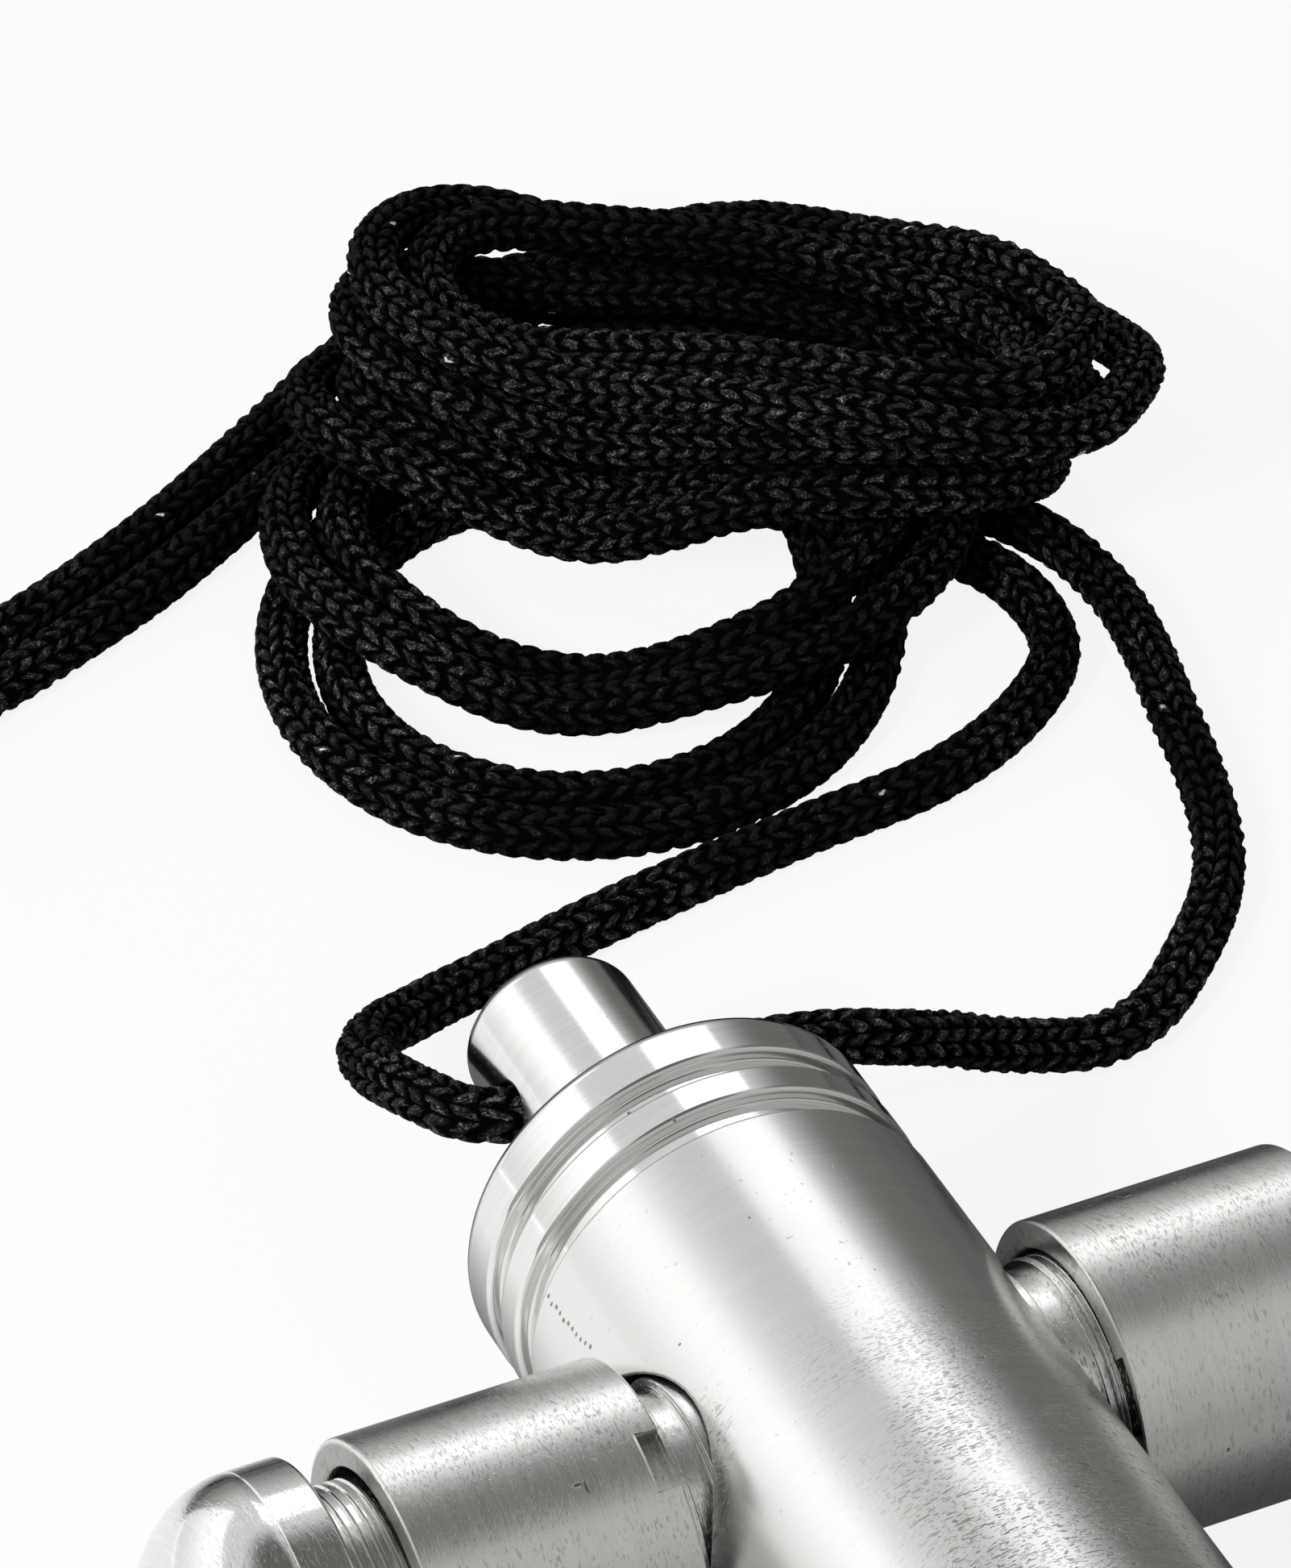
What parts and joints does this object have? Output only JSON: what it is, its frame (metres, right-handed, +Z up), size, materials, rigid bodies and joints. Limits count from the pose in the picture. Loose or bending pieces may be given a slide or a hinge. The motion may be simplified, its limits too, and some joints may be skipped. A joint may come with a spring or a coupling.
{
  "type": "samba whistle",
  "caption": "Aluminium samba whistle with a thick barrel, stubby side tubes with domed tuning plugs, a cross-drilled lug and a knitted neck cord.",
  "frame": {"origin": "on the table under the crossing of the barrel's axis and the side tubes' axis", "axes": "+X along the right side tube, +Y along the barrel towards the cap and lug, +Z up from the table"},
  "size_m": [0.1034, 0.1624, 0.025],
  "materials": {
    "satin_aluminium": "fine turned satin",
    "polished_aluminium": "polished",
    "seal_rubber": "matt",
    "cord_yarn": "knitted yarn"
  },
  "bodies": {
    "whistle": {"barrel": "satin_aluminium", "top_cap": "polished_aluminium", "lanyard_lug": "polished_aluminium", "mouthpiece": "satin_aluminium", "left_neck": "polished_aluminium", "left_fipple": "polished_aluminium", "left_tube": "satin_aluminium", "right_neck": "polished_aluminium", "right_fipple": "polished_aluminium", "right_tube": "satin_aluminium", "cord_run_left": "cord_yarn", "cord_run_right": "cord_yarn", "cord_coil_inner": "cord_yarn", "cord_coil_outer": "cord_yarn", "cord_tail_inner": "cord_yarn", "cord_tail_outer": "cord_yarn", "cord_knot": "cord_yarn"},
    "left_plug": {"left_knob": "polished_aluminium", "left_seal": "seal_rubber"},
    "right_plug": {"right_knob": "polished_aluminium", "right_seal": "seal_rubber"}
  },
  "joints": [
    {"name": "left_tuning", "type": "slide", "parent": "whistle", "child": "left_plug", "axis": [-1, 0, 0], "range_m": [-0.0028, 0.004]},
    {"name": "right_tuning", "type": "slide", "parent": "whistle", "child": "right_plug", "axis": [1, 0, 0], "range_m": [-0.0028, 0.004]}
  ]
}
